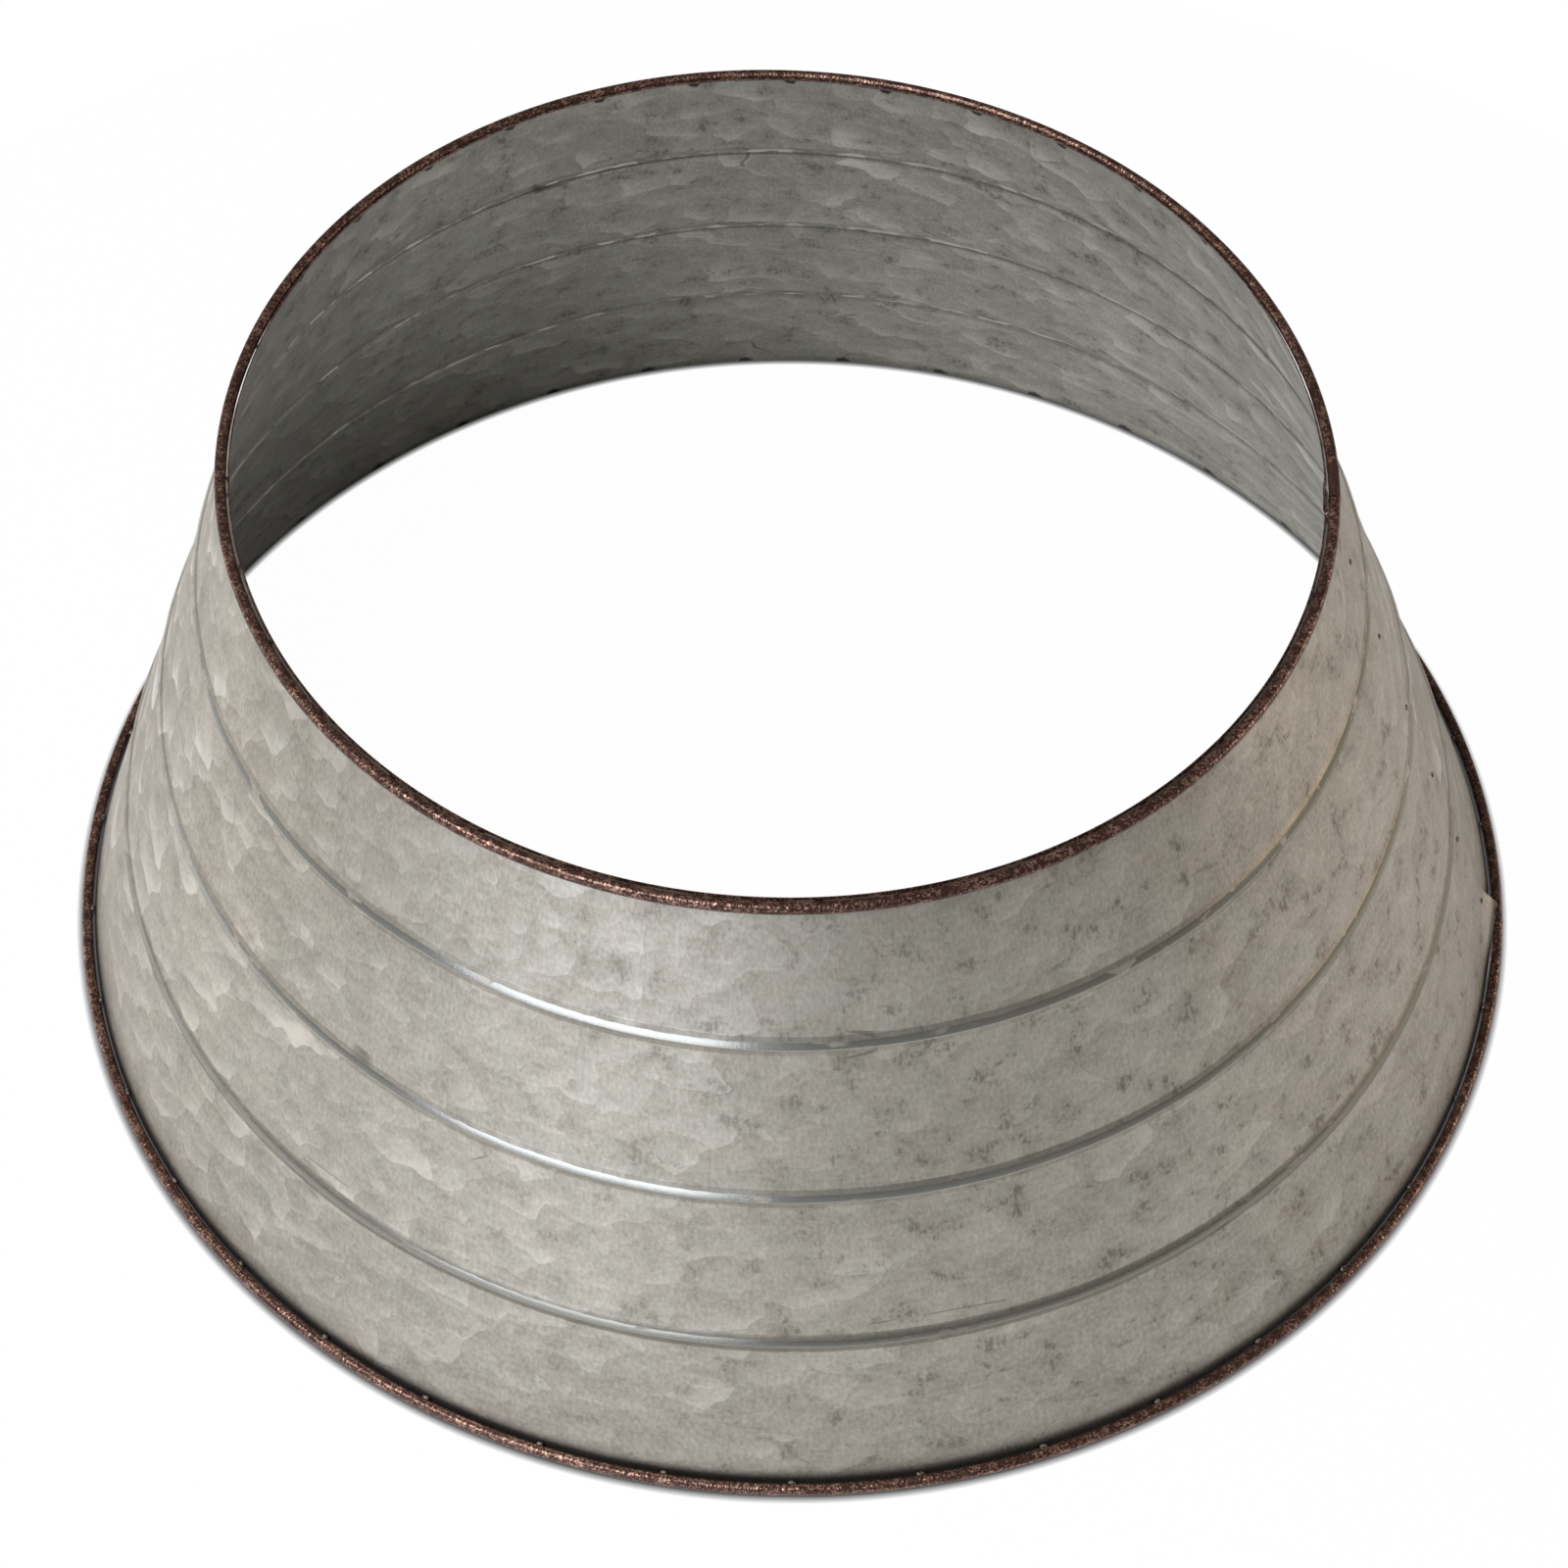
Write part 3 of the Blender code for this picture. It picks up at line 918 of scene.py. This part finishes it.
def ray_kinds(tree):
    """Whether a ray is the camera's own, also through glass, and whether it is a mirrored one."""
    path = tree.nodes.new("ShaderNodeLightPath")
    seen = add_node(
        tree, "Math", {0: path.outputs["Is Camera Ray"], 1: path.outputs["Is Transmission Ray"]},
        operation="MAXIMUM",
    )
    return seen, path.outputs["Is Glossy Ray"]


def studio_floor():
    """A round white table top, seen as white by the camera. It keeps the collar's shadow, which is darkest
    close to the hoop and in the groove between hoop and sheet. The metal mirrors it mostly as it is lit."""
    mesh = bmesh.new()
    bmesh.ops.create_circle(mesh, cap_ends=True, segments=table_sides, radius=table_radius)
    data = bpy.data.meshes.new("floor")
    mesh.to_mesh(data)
    mesh.free()
    made = bpy.data.objects.new("floor", data)
    made.location.z = cad_low.z
    bpy.context.scene.collection.objects.link(made)
    paint, tree, shader = new_material("white floor")
    shader.inputs["Base Color"].default_value = linear(floor_grey)
    shader.inputs["Roughness"].default_value = 0.9
    seen, mirrored = ray_kinds(tree)
    share = add_node(tree, "Math", {0: seen, 1: white_share_seen}, operation="MULTIPLY")
    share = add_node(
        tree, "Math", {0: mirrored, 1: white_share_in_metal, 2: share}, operation="MULTIPLY_ADD"
    )
    open_sky = add_node(tree, "AmbientOcclusion", {"Distance": contact_shadow_reach}, output="AO")
    shadow = add_node(tree, "Math", {0: open_sky, 1: contact_shadow_power}, operation="POWER")
    glow = add_node(tree, "Emission", {"Color": linear(white), "Strength": shadow})
    mix = add_node(tree, "MixShader", {0: share, 1: shader.outputs["BSDF"], 2: glow})
    tree.links.new(mix, tree.nodes["Material Output"].inputs["Surface"])
    data.materials.append(paint)


def studio_world():
    """A white surround for the camera. For the metal it is a dim room with a paler floor."""
    world = bpy.data.worlds.new("studio")
    bpy.context.scene.world = world
    world.use_nodes = True
    tree = world.node_tree
    seen, mirrored = ray_kinds(tree)
    direction = add_node(tree, "TexCoord", output="Generated")
    rise = add_node(tree, "SeparateXYZ", {"Vector": direction}, output="Z")
    room = add_node(
        tree, "MapRange",
        {
            "Value": rise, "From Min": world_low_rise, "From Max": world_high_rise,
            "To Min": world_low_metal_strength, "To Max": world_metal_strength,
        },
    )
    metal = add_node(tree, "Mix", {0: mirrored, 2: world_light_strength, 3: room}, data_type="FLOAT")
    strength = add_node(tree, "Mix", {0: seen, 2: metal, 3: world_seen_strength}, data_type="FLOAT")
    background = tree.nodes["Background"]
    background.inputs["Color"].default_value = linear(white)
    tree.links.new(strength, background.inputs["Strength"])


def dress_collar():
    """Makes the finishes and then the collar's pieces, each in its own finish."""
    # Painted light on the outside: shade on the rib folds, the lowest rib and the foot, a dark reflection on
    # the front-right crests and a sheen in the crystals' contrast
    outside = hot_dip_galvanised_steel(
        "galvanised steel outside",
        light="#dbd7cf", dark="#8f8a7f", stain_and_shade="#5f5b50", crest="#a8a8a2", shaded_side_crest="#8c866f",
        unworn=0.2, fold_shade=0.34, lowest_rib_shade=0.38, foot_level=0.78, clean_angle=math.radians(235),
        dim_leaf_sheen_contrast=0.4, roughness=0.43, burn_reach=0.003,
    )
    # The inside's zinc colours are darker than the outside's: a painted shade of the collar's hollow
    inside = hot_dip_galvanised_steel(
        "galvanised steel inside",
        light="#bebcb5", dark="#7a7973", stain_and_shade="#5c5952", crest="#cdccc4", shaded_side_crest="#cdccc4",
        unworn=0.5, fold_shade=0.12, lowest_rib_shade=0.1, foot_level=0.95, clean_angle=0,
        dim_leaf_sheen_contrast=1.0, roughness=0.46, burn_reach=0.005,
    )
    painted = hammered_bronze_paint("hammered bronze paint", fleck_share=1.0, roughness=0.28)
    touched_up = hammered_bronze_paint("touched-up bronze paint", fleck_share=0.15, roughness=0.5)
    burnt = burnt_weld_steel()
    galvanised_sheet(outside, inside, painted)
    hoop("top_hoop", top_hoop_radius, top_hoop_height, (painted, touched_up))
    hoop("base_hoop", base_hoop_radius, base_hoop_height, (painted,))
    paint_bridges(painted)
    base_angles = [angle for angle in spread(base_tack_start, base_tack_count) if clear_of_flare(angle)]
    top_angles = spread(top_tack_start, top_tack_count)
    tack_welds(
        "base_hoop_tack_welds", "base_hoop", base_hoop_radius, base_hoop_height,
        base_hoop_gap, base_tack_fullness, 1, base_angles, burnt,
    )
    tack_welds(
        "top_hoop_tack_welds", "top_hoop", top_hoop_radius, top_hoop_height,
        top_hoop_gap, top_tack_fullness, -1, top_angles, burnt,
    )
    seam_spot_welds(burnt)


camera()
studio_floor()
studio_world()
for values in softboxes:
    softbox(*values)
dress_collar()
bpy.context.scene.view_settings.view_transform = "Standard"
